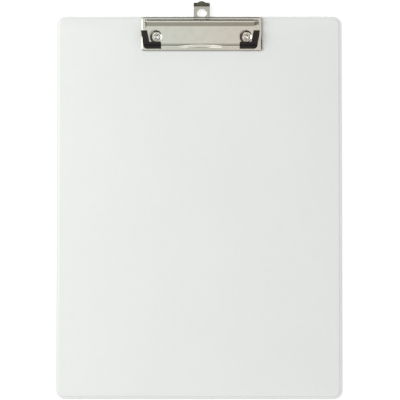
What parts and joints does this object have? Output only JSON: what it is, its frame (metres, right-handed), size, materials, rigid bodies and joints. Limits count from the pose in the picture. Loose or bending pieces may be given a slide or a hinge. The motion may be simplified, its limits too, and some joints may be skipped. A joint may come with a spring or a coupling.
{
  "type": "clipboard",
  "caption": "Plastic-covered clipboard with a low sprung metal clip, rubber corner grips on the press plate and a pull-out hanging tab.",
  "frame": {"origin": "centre of the board's back face", "axes": "+X to the right across the board, +Y up the board towards the clip, +Z out of the writing face"},
  "size_m": [0.235, 0.327, 0.0097],
  "materials": {
    "greyboard": "raw grey millboard",
    "cover_film": "smooth white PVC film, satin",
    "nickel": "bright nickel plate on sheet steel",
    "steel_rod": "drawn and plated rod",
    "spring_steel": "spring wire",
    "rivet_metal": "nickel-plated rivet",
    "black_rubber": "moulded black rubber, matt"
  },
  "bodies": {
    "board": {"core_board": "greyboard", "front_cover": "cover_film", "back_cover": "cover_film", "clip_base": "nickel", "hinge_rod": "steel_rod", "rivet_left": "rivet_metal", "rivet_right": "rivet_metal", "spring_left": "spring_steel", "spring_right": "spring_steel"},
    "press": {"press_plate": "nickel", "corner_grip_left": "black_rubber", "corner_grip_right": "black_rubber"},
    "hanger": {"hanger": "nickel"}
  },
  "joints": [
    {"name": "press_hinge", "type": "hinge", "parent": "board", "child": "press", "pos_m": [0.0022, 0.1525, 0.0078], "axis": [-1, 0, 0], "range_deg": [0, 50], "stiffness_Nm_per_rad": 0.15, "springref_deg": -68.75, "deforming": ["spring_left", "spring_right"]},
    {"name": "hanger_slide", "type": "slide", "parent": "board", "child": "hanger", "axis": [0, 1, 0], "range_m": [-0.0075, 0.004]}
  ]
}
